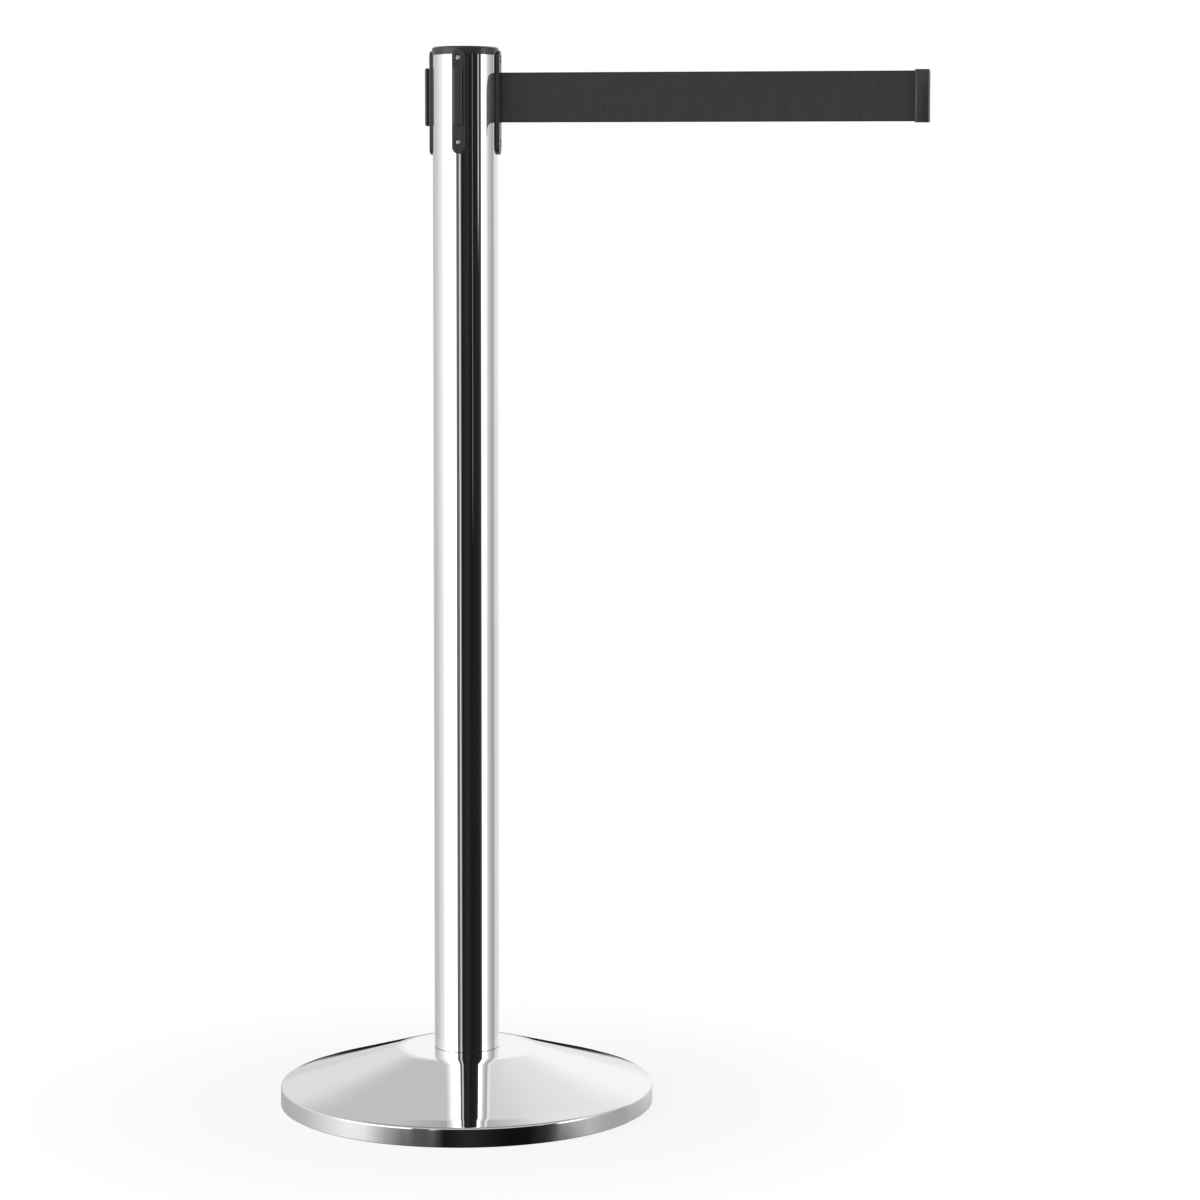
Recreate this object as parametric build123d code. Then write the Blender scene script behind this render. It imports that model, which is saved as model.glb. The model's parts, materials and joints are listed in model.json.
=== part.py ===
from build123d import *
from math import acos, atan2, cos, degrees, pi, sin, sqrt, tan
import os

# Retractable belt stanchion. Millimetres. +Z is up, and the origin is on the post's axis at floor level.
# The belt leaves the head along +X. The three receivers face -Y (front), -X (left) and +Y (rear).

# ---- driving dimensions ----
# Post
tube_od = 63.5
tube_wall = 1.5
tube_top_z = 1028.5
# Base
base_radius = 183.5
cover_wall = 1.2
cover_top_z = 55.3
plateau_corner_radius = 65.5
shoulder_round = 50.0
rim_corner_z = 19.6
rim_edge_round = 2.2
rim_bottom_z = 1.0
pad_thickness = 2.0
pad_inset = 1.5
weight_plate = 10.0
weight_hub_radius = 42.0
weight_hub_flare = 6.0
gasket_thickness = 0.3
gasket_width = 6.0
# Base bolt, M12, and the plug it screws into
bolt_radius = 6.0
bolt_head_af = 18.0
bolt_head_height = 7.5
washer_radius = 14.0
washer_thickness = 2.5
bolt_tip_chamfer = 1.0
plug_thickness = 18.0
plug_chamfer = 1.0
bolt_tip_margin = 2.0
bolt_recess_margin = 1.0
bolt_recess_side = 4.0
# Cap
cap_overhang = 0.65
cap_height = 7.8
cap_chamfer = 1.2
cap_chamfer_width = 1.7
cap_spigot_depth = 8.0
cap_spigot_wall = 4.0
# Plates on the four sides of the head
strip_width = 12.5
strip_stand_off = 2.85
strip_above_tube = 4.5
strip_below_belt = 31.0
strip_blank_depth = 10.0
strip_edge_round = 0.9
screw_inset_top = 8.2
screw_inset_bottom = 11.0
# Receiver rail
rail_beyond_belt = 4.0
rail_head_width = 9.0
rail_head_thickness = 2.4
rail_neck_width = 5.0
rail_neck_depth = 2.5
rail_edge_round = 0.8
rail_corner_round = 1.6
rail_above_belt = 0.5
# M3 button-head screws
screw_radius = 1.5
screw_head_radius = 2.6
screw_head_height = 1.5
screw_head_round = 0.9
screw_socket_depth = 1.0
screw_length = 6.5
screw_socket_af = 2.0
counterbore_radius = 3.25
counterbore_depth = 1.7
# Belt
belt_width = 48.0
belt_thickness = 0.55
belt_below_top = 16.5
belt_total_length = 2300.0
belt_end_x = 441.0
# Cassette and reel
cassette_wall = 4.0
cassette_floor = 9.5
lid_thickness = 4.0
reel_core_radius = 9.0
reel_core_bore = 5.0
flange_radius = 24.0
flange_thickness = 2.0
axle_radius = 3.0
axle_head_radius = 5.5
axle_head_height = 2.5
axle_head_chamfer = 0.5
nut_af = 10.0
nut_height = 5.0
axle_beyond_nut = 1.0
thrust_washer_thickness = 0.5
thrust_washer_radius = 8.0
bush_length = 8.0
# Power spring and its housing
spring_strip_width = 10.0
spring_strip_thickness = 0.4
spring_pitch = 2.6
spring_turns = 6
spring_cup_wall = 1.5
spring_cover_thickness = 1.2
arbor_radius = 5.0
# Guide pins beside the belt where it leaves the cassette
guide_pin_radius = 1.5
guide_pin_inset = 2.2
guide_pin_seat = 5.0
bend_before_pins = 2.5
# Clip on the belt's end
clip_length = 14.0
clip_width = 16.0
clip_beyond_belt = 1.0
clip_edge_round = 2.5
clip_top_round = 0.8
clip_roof = 3.0
clip_lip = 2.2
clip_pin_radius = 1.2
belt_pocket_depth = 5.0

# ---- clearances ----
fit_gap = 0.05          # round piece in a round seat
seat_gap = 0.1          # faces that lie on each other inside one body
running_gap = 0.3       # moving piece beside a fixed one
slide_gap = 0.3         # clip slot around a receiver rail
belt_gap = 1.0          # slots around the belt
flange_gap = 0.5        # reel flanges above and below the belt
spring_side_gap = 1.0   # power spring above and below, in its housing
weight_gap = 0.5        # weight inside the cover's rim
bolt_gap = 0.5          # base bolt in its holes

# ---- worked out from the above ----
tube_radius = tube_od / 2
tube_bore = tube_radius - tube_wall
tube_bottom_z = cover_top_z + gasket_thickness
cap_top_z = tube_top_z + cap_height
cap_radius = tube_radius + cap_overhang
strip_top_z = tube_top_z + strip_above_tube
belt_high_z = tube_top_z - belt_below_top
belt_low_z = belt_high_z - belt_width
belt_centre_z = (belt_low_z + belt_high_z) / 2
strip_bottom_z = belt_low_z - strip_below_belt
strip_height = strip_top_z - strip_bottom_z
strip_face = tube_radius + strip_stand_off
screw_zs = (strip_top_z - screw_inset_top, strip_bottom_z + screw_inset_bottom)
head_seat = strip_face - counterbore_depth

cassette_radius = tube_bore - fit_gap
cassette_bore = cassette_radius - cassette_wall
flange_inner_low_z = belt_low_z - flange_gap
flange_inner_high_z = belt_high_z + flange_gap
drum_low_z = flange_inner_low_z - flange_thickness
drum_high_z = flange_inner_high_z + flange_thickness
cup_top_z = drum_low_z - spring_cover_thickness
cup_low_z = cup_top_z - spring_strip_width - 2 * spring_side_gap - spring_cup_wall
floor_top_z = cup_low_z - thrust_washer_thickness - 2 * seat_gap
cassette_low_z = floor_top_z - cassette_floor
cassette_high_z = drum_high_z + thrust_washer_thickness + 2 * seat_gap
lid_top_z = cassette_high_z + lid_thickness

guide_pin_x = cassette_radius - guide_pin_inset
belt_bend_x = guide_pin_x - bend_before_pins
guide_pin_y = guide_pin_radius + belt_thickness / 2 + running_gap
mouth_width = 2 * (guide_pin_y + guide_pin_radius + running_gap)

belt_left_on_reel = belt_total_length - (belt_end_x - belt_bend_x)
roll_radius = sqrt(reel_core_radius**2 + belt_left_on_reel * belt_thickness / pi)
clip_back_x = belt_end_x - belt_pocket_depth
clip_front_x = clip_back_x + clip_length
clip_low_z = belt_low_z - clip_beyond_belt
clip_high_z = belt_high_z + clip_beyond_belt

weight_top_z = cover_top_z - cover_wall
cover_bore = base_radius - cover_wall
weight_radius = cover_bore - weight_gap
bolt_seat_z = pad_thickness + bolt_recess_margin + bolt_head_height + washer_thickness
bolt_hole_radius = bolt_radius + bolt_gap


def ring(outer, inner, low, high):
    """A tube or disc between two heights, on the post's axis."""
    body = Pos(0, 0, low) * Cylinder(outer, high - low, align=(Align.CENTER, Align.CENTER, Align.MIN))
    if inner > 0:
        bore = Pos(0, 0, low) * Cylinder(inner, high - low, align=(Align.CENTER, Align.CENTER, Align.MIN))
        body = body - bore
    return body


def hexagon(across_flats, low, high):
    """A hexagonal prism on the post's axis."""
    outline = RegularPolygon(across_flats / 2, 6, major_radius=False)
    return Pos(0, 0, low) * extrude(outline, high - low)


def rod_x(radius, near, far, z):
    """A round bar along X."""
    bar = Cylinder(radius, far - near, align=(Align.CENTER, Align.CENTER, Align.MIN))
    return Pos(near, 0, z) * Rot(0, 90, 0) * bar


def block(x_low, x_high, width, z_low, z_high):
    """A box along X and Z that is centred on Y = 0."""
    size = (x_high - x_low, width, z_high - z_low)
    return Pos((x_low + x_high) / 2, 0, (z_low + z_high) / 2) * Box(*size)


def on_all_sides(make):
    """The same shape at the four sides of the head."""
    return [Rot(0, 0, 90 * side) * make for side in range(4)]


def save(shape, node):
    export_step(shape, f"parts/{node}.step")


# ---- base ----
def under_skin(depth):
    """Everything under the cover's skin, or under a surface that runs inside it at an even depth."""
    tilt = atan2(cover_top_z - rim_corner_z, base_radius - plateau_corner_radius)
    drop = depth / cos(tilt)
    low_top = cover_top_z - depth
    corner_radius = plateau_corner_radius + (depth - drop) / tan(tilt)
    rim_radius = base_radius - depth
    rim_corner = rim_corner_z - drop + depth * tan(tilt)
    corners = [(0, low_top), (corner_radius, low_top), (rim_radius, rim_corner), (rim_radius, 0)]
    with BuildSketch(Plane.XZ) as section:
        with BuildLine():
            FilletPolyline(*corners, radius=[shoulder_round - depth, rim_edge_round - depth])
            Polyline((rim_radius, 0), (0, 0), (0, low_top))
        make_face()
    return revolve(section.sketch, Axis.Z)


def base_cover():
    """Pressed dome: flat top under the post, rounded shoulder, cone and upright rim."""
    below = ring(base_radius + 1, 0, -1, rim_bottom_z)
    return under_skin(0) - under_skin(cover_wall) - below - ring(bolt_hole_radius, 0, -1, cover_top_z + 1)


def base_weight():
    """Cast disc with a hub under the cover's flat top, recessed below for the bolt head."""
    plate = ring(weight_radius, 0, pad_thickness, pad_thickness + weight_plate)
    hub_high = weight_top_z - pad_thickness
    hub_shape = Cone(weight_hub_radius + weight_hub_flare, weight_hub_radius, hub_high,
                     align=(Align.CENTER, Align.CENTER, Align.MIN))
    hub = Pos(0, 0, pad_thickness) * hub_shape
    recess = ring(washer_radius + bolt_recess_side, 0, pad_thickness, bolt_seat_z)
    hole = ring(bolt_hole_radius, 0, 0, weight_top_z)
    return plate + hub - recess - hole


def base_pad():
    pad = ring(base_radius - pad_inset, 0, 0, pad_thickness)
    rebate = ring(base_radius, weight_radius, rim_bottom_z - seat_gap, pad_thickness)
    return pad - rebate


def bolt_washer():
    return ring(washer_radius, bolt_hole_radius, bolt_seat_z - washer_thickness, bolt_seat_z)


def base_bolt():
    head_top = bolt_seat_z - washer_thickness
    head = hexagon(bolt_head_af, head_top - bolt_head_height, head_top)
    tip = tube_bottom_z + plug_thickness - bolt_tip_margin
    shank = ring(bolt_radius, 0, head_top, tip)
    return head + chamfer(shank.edges().sort_by(Axis.Z)[-1], bolt_tip_chamfer)


def foot_plug():
    """Steel plug welded into the post's foot, threaded for the base bolt."""
    plug = ring(tube_bore - fit_gap, bolt_radius, tube_bottom_z, tube_bottom_z + plug_thickness)
    outer_edges = plug.edges().filter_by(GeomType.CIRCLE).group_by(SortBy.RADIUS)[-1]
    return chamfer(outer_edges, plug_chamfer)


def post_gasket():
    return ring(tube_radius, tube_radius - gasket_width, cover_top_z, cover_top_z + gasket_thickness)


# ---- post ----
def post_tube():
    tube = ring(tube_radius, tube_bore, tube_bottom_z, tube_top_z)
    slot = block(0, tube_radius + 1, mouth_width, belt_low_z - belt_gap, belt_high_z + belt_gap)
    for z in screw_zs:
        for hole in on_all_sides(rod_x(screw_radius + fit_gap, 0, tube_radius + 1, z)):
            tube = tube - hole
    return tube - slot


def top_cap():
    disc = ring(cap_radius, 0, tube_top_z, cap_top_z)
    disc = chamfer(disc.edges().sort_by(Axis.Z)[-1], cap_chamfer, cap_chamfer_width)
    spigot_radius = tube_bore - fit_gap
    spigot = ring(spigot_radius, spigot_radius - cap_spigot_wall, tube_top_z - cap_spigot_depth, tube_top_z)
    body = disc + spigot
    for hole in on_all_sides(rod_x(screw_radius, 0, tube_radius, screw_zs[0])):
        body = body - hole
    return body


# ---- plates on the head ----
def strip_blank():
    """Plate on the +X side: round ends, softened front edge, back curved to the post and the cap."""
    middle = (strip_top_z + strip_bottom_z) / 2
    outline = Plane.YZ * SlotOverall(strip_height, strip_width, rotation=90)
    plate = Pos(strip_face - strip_blank_depth, 0, middle) * extrude(outline, strip_blank_depth)
    front = plate.faces().sort_by(Axis.X)[-1]
    plate = fillet(front.edges(), strip_edge_round)
    plate = plate - ring(tube_radius + fit_gap, 0, strip_bottom_z - 1, strip_top_z + 1)
    plate = plate - ring(cap_radius + fit_gap, 0, tube_top_z - fit_gap, strip_top_z + 1)
    for z in screw_zs:
        plate = plate - rod_x(counterbore_radius, head_seat, strip_face + 1, z)
        plate = plate - rod_x(screw_radius + fit_gap, 0, strip_face, z)
    return plate


def receiver():
    """Plate with a T-shaped rail that a belt clip slides down onto."""
    neck_face = strip_face + rail_neck_depth
    low = belt_low_z - rail_beyond_belt + rail_above_belt
    high = belt_high_z + rail_beyond_belt + rail_above_belt
    neck = block(strip_face - rail_edge_round, neck_face, rail_neck_width, low, high)
    head = block(neck_face, neck_face + rail_head_thickness, rail_head_width, low, high)
    head = fillet(head.edges().filter_by(Axis.X), rail_corner_round)
    front = head.faces().sort_by(Axis.X)[-1]
    head = fillet(front.edges(), rail_edge_round)
    return strip_blank() + neck + head


def outlet_strip():
    """Plate with the slot that the belt comes out of."""
    slot_width = belt_thickness + 2 * belt_gap
    slot = block(0, strip_face + 1, slot_width, belt_low_z - belt_gap, belt_high_z + belt_gap)
    return strip_blank() - slot


def strip_screw(z):
    """Button-head screw on the +X side, with a hexagonal socket."""
    shank = rod_x(screw_radius, head_seat - screw_length, head_seat, z)
    head = rod_x(screw_head_radius, head_seat, head_seat + screw_head_height, z)
    head = fillet(head.edges().sort_by(Axis.X)[-1], screw_head_round)
    socket_outline = Plane.YZ * RegularPolygon(screw_socket_af / 2, 6, major_radius=False)
    socket = Pos(head_seat + screw_head_height - screw_socket_depth, 0, z) * extrude(socket_outline, 2)
    return shank + head - socket


def strip_screws():
    screws = []
    for z in screw_zs:
        screws += on_all_sides(strip_screw(z))
    return Compound(screws)


# ---- cassette: stays inside the head ----
def cassette_body():
    shell = ring(cassette_radius, cassette_bore, cassette_low_z, cassette_high_z)
    floor = ring(cassette_radius, axle_radius, cassette_low_z, floor_top_z)
    mouth = block(0, tube_radius, mouth_width, flange_inner_low_z, cassette_high_z)
    body = shell + floor - mouth
    for hole in on_all_sides(rod_x(screw_radius, head_seat - screw_length, tube_radius, screw_zs[1])):
        body = body - hole
    for side in (-1, 1):
        seat = ring(guide_pin_radius, 0, flange_inner_low_z - guide_pin_seat, flange_inner_low_z)
        body = body - Pos(guide_pin_x, side * guide_pin_y, 0) * seat
    return body


def cassette_lid():
    return ring(cassette_radius, axle_radius, cassette_high_z, lid_top_z)


def guide_pins():
    pins = []
    for side in (-1, 1):
        pin = ring(guide_pin_radius, 0, flange_inner_low_z - guide_pin_seat, cassette_high_z)
        pins.append(Pos(guide_pin_x, side * guide_pin_y, 0) * pin)
    return Compound(pins)


def reel_axle():
    """Headed rod through lid, reel and floor."""
    shank = ring(axle_radius, 0, cassette_low_z - nut_height - axle_beyond_nut, lid_top_z)
    head = ring(axle_head_radius, 0, lid_top_z, lid_top_z + axle_head_height)
    head = chamfer(head.edges().sort_by(Axis.Z)[-1], axle_head_chamfer)
    return shank + head


def axle_nut():
    nut = hexagon(nut_af, cassette_low_z - nut_height, cassette_low_z)
    return nut - ring(axle_radius, 0, 0, cassette_low_z)


def thrust_washers():
    low = floor_top_z + seat_gap
    high = drum_high_z + seat_gap
    lower = ring(thrust_washer_radius, axle_radius + fit_gap, low, low + thrust_washer_thickness)
    upper = ring(thrust_washer_radius, axle_radius + fit_gap, high, high + thrust_washer_thickness)
    return Compound([lower, upper])


def spring_arbor():
    """Sleeve keyed to the axle, which holds the power spring's inner end."""
    low = cup_low_z + spring_cup_wall + running_gap
    return ring(arbor_radius, axle_radius, low, cup_top_z - running_gap)


# ---- reel: turns on the axle ----
def reel_drum():
    core = ring(reel_core_radius, reel_core_bore, drum_low_z, drum_high_z)
    lower = ring(flange_radius, reel_core_bore, drum_low_z, flange_inner_low_z)
    upper = ring(flange_radius, reel_core_bore, flange_inner_high_z, drum_high_z)
    return core + lower + upper


def reel_bush(low):
    return ring(reel_core_bore, axle_radius + fit_gap, low, low + bush_length)


def spring_housing():
    """Cup under the reel for the power spring."""
    cup = ring(flange_radius, axle_radius + running_gap, cup_low_z, cup_top_z)
    return cup - ring(flange_radius - spring_cup_wall, 0, cup_low_z + spring_cup_wall, cup_top_z)


def spring_cover():
    return ring(flange_radius, axle_radius + running_gap, cup_top_z, drum_low_z)


def power_spring():
    """Flat spiral made of half turns about two centres, each a little wider than the last."""
    half = spring_strip_thickness / 2
    first_radius = arbor_radius + running_gap + half
    low = cup_low_z + spring_cup_wall + spring_side_gap
    spiral = Part()
    for turn in range(2 * spring_turns):
        side = 1 if turn % 2 == 0 else -1
        radius = first_radius + spring_pitch * (turn + 0.5) / 2
        outline = Circle(radius + half) - Circle(radius - half)
        window = Pos(0, side * radius) * Rectangle(4 * radius, 2 * radius)
        spiral += extrude(Pos(-side * spring_pitch / 4, 0) * (outline & window), spring_strip_width)
    return Pos(0, 0, low) * spiral


def wound_belt():
    return ring(roll_radius, reel_core_radius, belt_low_z, belt_high_z)


# ---- belt ----
def belt_lead():
    """Belt between the roll and the bend in front of the guide pins."""
    distance = roll_radius + running_gap + belt_thickness / 2
    angle = acos(distance / belt_bend_x)
    run = belt_bend_x * sin(angle) - 2 * running_gap
    strap = Pos(running_gap + run / 2, 0, belt_centre_z) * Box(run, belt_thickness, belt_width)
    return Rot(0, 0, -degrees(angle)) * Pos(distance, 0, 0) * Rot(0, 0, 90) * strap


def belt():
    return block(belt_bend_x, belt_end_x, belt_thickness, belt_low_z, belt_high_z)


def clip_body():
    """Clip with a pocket for the belt's loop behind and a T-slot in front."""
    body = block(clip_back_x, clip_front_x, clip_width, clip_low_z, clip_high_z)
    body = fillet(body.edges().filter_by(Axis.Z), clip_edge_round)
    body = fillet(body.edges().group_by(Axis.Z)[-1], clip_top_round)
    slot_top = clip_high_z - clip_roof
    neck_width = rail_neck_width + 2 * slide_gap
    pocket_width = rail_head_width + 2 * slide_gap
    pocket_face = clip_front_x - clip_lip
    pocket_back = pocket_face - rail_head_thickness - 2 * slide_gap
    neck = block(pocket_face, clip_front_x + 1, neck_width, clip_low_z - 1, slot_top)
    pocket = block(pocket_back, pocket_face, pocket_width, clip_low_z - 1, slot_top)
    slit = block(clip_back_x - 1, belt_end_x, belt_thickness + 2 * seat_gap,
                 belt_low_z - seat_gap, belt_high_z + seat_gap)
    pin_hole = Pos(belt_end_x + clip_pin_radius, 0, 0) * ring(clip_pin_radius, 0, clip_low_z, slot_top)
    return body - neck - pocket - slit - pin_hole


def clip_pin():
    pin = ring(clip_pin_radius, 0, clip_low_z, clip_high_z - clip_roof)
    return Pos(belt_end_x + clip_pin_radius, 0, 0) * pin


os.makedirs("parts", exist_ok=True)
save(base_cover(), "base_cover")
save(base_weight(), "base_weight")
save(base_pad(), "base_pad")
save(bolt_washer(), "bolt_washer")
save(base_bolt(), "base_bolt")
save(foot_plug(), "foot_plug")
save(post_gasket(), "post_gasket")
save(post_tube(), "post_tube")
save(top_cap(), "top_cap")
for turn, node in ((180, "receiver_left"), (-90, "receiver_front"), (90, "receiver_rear")):
    save(Rot(0, 0, turn) * receiver(), node)
save(outlet_strip(), "outlet_strip")
save(strip_screws(), "strip_screws")
save(cassette_body(), "cassette_body")
save(cassette_lid(), "cassette_lid")
save(guide_pins(), "guide_pins")
save(reel_axle(), "reel_axle")
save(axle_nut(), "axle_nut")
save(thrust_washers(), "thrust_washers")
save(spring_arbor(), "spring_arbor")
save(reel_drum(), "reel_drum")
save(reel_bush(drum_low_z), "reel_bush_lower")
save(reel_bush(drum_high_z - bush_length), "reel_bush_upper")
save(spring_housing(), "spring_housing")
save(spring_cover(), "spring_cover")
save(power_spring(), "power_spring")
save(wound_belt(), "wound_belt")
save(belt_lead(), "belt_lead")
save(belt(), "belt")
save(clip_body(), "clip_body")
save(clip_pin(), "clip_pin")
reel_ratio = 1000 / (roll_radius + belt_thickness / 2)
print("reel turns per metre of belt, in radians:", round(reel_ratio, 3))
print("clip from the belt's outlet, in mm:", round(clip_back_x - strip_face, 2))
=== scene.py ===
import json
import math

import bmesh
import bpy
from mathutils import Matrix, Vector


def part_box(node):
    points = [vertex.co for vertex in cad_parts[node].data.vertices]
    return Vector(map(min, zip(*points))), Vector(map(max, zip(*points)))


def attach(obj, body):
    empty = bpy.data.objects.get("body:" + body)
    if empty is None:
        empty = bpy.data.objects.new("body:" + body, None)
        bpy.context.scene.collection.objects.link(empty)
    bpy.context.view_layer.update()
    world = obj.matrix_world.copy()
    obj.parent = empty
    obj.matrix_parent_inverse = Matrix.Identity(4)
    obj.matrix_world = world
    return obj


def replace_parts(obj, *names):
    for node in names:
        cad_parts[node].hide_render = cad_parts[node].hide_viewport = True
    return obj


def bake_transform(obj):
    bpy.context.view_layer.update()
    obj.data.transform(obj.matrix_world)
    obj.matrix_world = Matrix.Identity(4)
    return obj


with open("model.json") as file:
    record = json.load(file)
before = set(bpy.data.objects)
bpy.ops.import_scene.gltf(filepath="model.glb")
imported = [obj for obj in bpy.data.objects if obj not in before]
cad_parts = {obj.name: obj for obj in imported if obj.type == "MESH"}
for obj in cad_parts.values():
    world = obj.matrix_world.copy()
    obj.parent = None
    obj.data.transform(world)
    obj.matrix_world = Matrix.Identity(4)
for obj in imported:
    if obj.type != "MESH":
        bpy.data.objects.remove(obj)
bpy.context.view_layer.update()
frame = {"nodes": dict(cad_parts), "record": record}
mm = 0.001
weld = 1e-6             # corners nearer than this are one corner
overcut = 1 * mm        # how far a cutter runs past the face that it cuts
parallel = 0.99         # cosine from which two directions count as one
bodies = frame["record"]["behaviour"]["bodies"]
bodyOf = {node: body for body, nodes in bodies.items() for node in nodes}
print("frame loaded:", len(frame["nodes"]), "nodes")


# A node socket that Python sums work on
class Wire:
    def __init__(self, recipe, socket):
        self.recipe = recipe
        self.socket = socket

    def __add__(self, other):
        return self.recipe.maths("ADD", self, other)

    def __radd__(self, other):
        return self.recipe.maths("ADD", other, self)

    def __sub__(self, other):
        return self.recipe.maths("SUBTRACT", self, other)

    def __rsub__(self, other):
        return self.recipe.maths("SUBTRACT", other, self)

    def __mul__(self, other):
        return self.recipe.maths("MULTIPLY", self, other)

    def __rmul__(self, other):
        return self.recipe.maths("MULTIPLY", other, self)

    def __truediv__(self, other):
        return self.recipe.maths("DIVIDE", self, other)

    def __rtruediv__(self, other):
        return self.recipe.maths("DIVIDE", other, self)

    def __neg__(self):
        return self.recipe.maths("MULTIPLY", self, -1.0)

    def __abs__(self):
        return self.recipe.maths("ABSOLUTE", self)


class Recipe:
    def __init__(self, tree):
        self.tree = tree

    # Adds one node: settings first, then values or links for its sockets
    def add(self, kind, settings=None, sockets=None, out=0):
        node = self.tree.nodes.new(kind)
        for key, value in (settings or {}).items():
            if key == "stops":
                self.setStops(node.color_ramp, value)
            else:
                setattr(node, key, value)
        for key, value in (sockets or {}).items():
            if isinstance(value, Wire):
                self.tree.links.new(value.socket, node.inputs[key])
            elif isinstance(value, tuple) and node.inputs[key].type == "RGBA":
                node.inputs[key].default_value = (*value, 1.0)
            else:
                node.inputs[key].default_value = value
        return Wire(self, node.outputs[out]) if len(node.outputs) else None

    def setStops(self, ramp, stops):
        while len(ramp.elements) < len(stops):
            ramp.elements.new(1.0)
        for element, (place, colour) in zip(ramp.elements, stops):
            element.position = place
            element.color = (*colour, 1.0)

    def maths(self, operation, *values):
        return self.add("ShaderNodeMath", {"operation": operation}, dict(enumerate(values)))

    def vectorMaths(self, operation, *values, out=0):
        return self.add("ShaderNodeVectorMath", {"operation": operation}, dict(enumerate(values)), out)

    # The X, Y and Z of a vector
    def split(self, vector):
        node = self.add("ShaderNodeSeparateXYZ", None, {0: vector}).socket.node
        return [Wire(self, socket) for socket in node.outputs]

    def smooth(self, value, low, high):
        settings = {"interpolation_type": "SMOOTHSTEP"}
        sockets = {"Value": value, "From Min": low, "From Max": high}
        return self.add("ShaderNodeMapRange", settings, sockets)

    def noise(self, where, scale, detail=2.0, roughness=0.5):
        sockets = {"Vector": where, "Scale": scale, "Detail": detail, "Roughness": roughness}
        return self.add("ShaderNodeTexNoise", None, sockets, "Fac")

    def blendColours(self, factor, first, second):
        return self.add("ShaderNodeMix", {"data_type": "RGBA"}, {0: factor, 6: first, 7: second}, 2)

    def bump(self, height, strength, distance):
        sockets = {"Height": height, "Strength": strength, "Distance": distance}
        return self.add("ShaderNodeBump", None, sockets)


# A display grey from 0 to 255 as linear light
def linear(grey):
    share = grey / 255
    return share / 12.92 if share <= 0.04045 else ((share + 0.055) / 1.055) ** 2.4


def newMaterial(name):
    material = bpy.data.materials.new(name)
    material.use_nodes = True
    material.node_tree.nodes.clear()
    recipe = Recipe(material.node_tree)
    where = recipe.add("ShaderNodeTexCoord", out="Object")
    return material, recipe, where


def finishMaterial(recipe, sockets):
    shader = recipe.add("ShaderNodeBsdfPrincipled", None, sockets)
    recipe.add("ShaderNodeOutputMaterial", None, {"Surface": shader})


def shade(colour, share):
    return tuple(share * part for part in colour)


chromeLook = {"tint": (0.95, 0.953, 0.957), "roughness": 0.008, "smudge": 0.012, "smudgeScale": 9.0,
              "smudgeStart": 0.52, "smudgeEnd": 0.72, "ripple": 0.02, "rippleScale": 14.0,
              "rippleDepth": 0.0004, "rimHaze": 0.04, "rimTop": 18 * mm, "rimFade": 1 * mm}


# Mirror chrome, a little hazier on the base's upright rim
def polishedChrome():
    look = chromeLook
    material, recipe, where = newMaterial("polishedChrome")
    smudges = recipe.noise(where, look["smudgeScale"], detail=4.0, roughness=0.6)
    smudges = recipe.smooth(smudges, look["smudgeStart"], look["smudgeEnd"])
    height = recipe.split(where)[2]
    rim = recipe.smooth(-height, -look["rimTop"], look["rimFade"] - look["rimTop"])
    ripples = recipe.noise(where, look["rippleScale"], detail=1.0)
    finishMaterial(recipe, {
        "Base Color": look["tint"],
        "Metallic": 1.0,
        "Roughness": look["roughness"] + smudges * look["smudge"] + rim * look["rimHaze"],
        "Normal": recipe.bump(ripples, look["ripple"], look["rippleDepth"]),
    })
    return material


blackLook = {"colour": (0.024, 0.024, 0.025), "roughness": 0.24, "glossIndex": 1.62,
             "hazeScale": 60.0, "hazeLift": 1.35, "hazeSpread": 0.12,
             "grainScale": 2600.0, "grainSpread": 0.08, "grain": 0.12, "grainDepth": 0.00004}


def mouldedBlack():
    look = blackLook
    material, recipe, where = newMaterial("mouldedBlack")
    grain = recipe.noise(where, look["grainScale"], detail=3.0, roughness=0.6)
    haze = recipe.noise(where, look["hazeScale"], detail=3.0)
    spread = (haze - 0.5) * look["hazeSpread"] + (grain - 0.5) * look["grainSpread"]
    finishMaterial(recipe, {
        "Base Color": recipe.blendColours(haze, look["colour"], shade(look["colour"], look["hazeLift"])),
        "Roughness": look["roughness"] + spread,
        "IOR": look["glossIndex"],
        "Normal": recipe.bump(grain, look["grain"], look["grainDepth"]),
    })
    return material


beltLook = {"colour": (0.0235, 0.0235, 0.024), "lift": 2.0, "edge": 1.3 * mm, "edgeShade": 0.3,
            "ribPitch": 1.15 * mm, "ribWobble": 2.2, "wobbleScale": 380.0, "pickPitch": 0.55 * mm,
            "ribHeight": 0.5, "pickHeight": 0.3, "knotHeight": 0.3, "streakHeight": 1.2,
            "streakScale": 420.0, "streakStretch": 0.06, "streak": 0.936, "threadTone": 0.25,
            "roughness": 0.82, "threadGloss": 0.06, "sheen": 0.12, "sheenRoughness": 0.4,
            "relief": 0.55, "reliefDepth": 0.00012}


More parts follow.
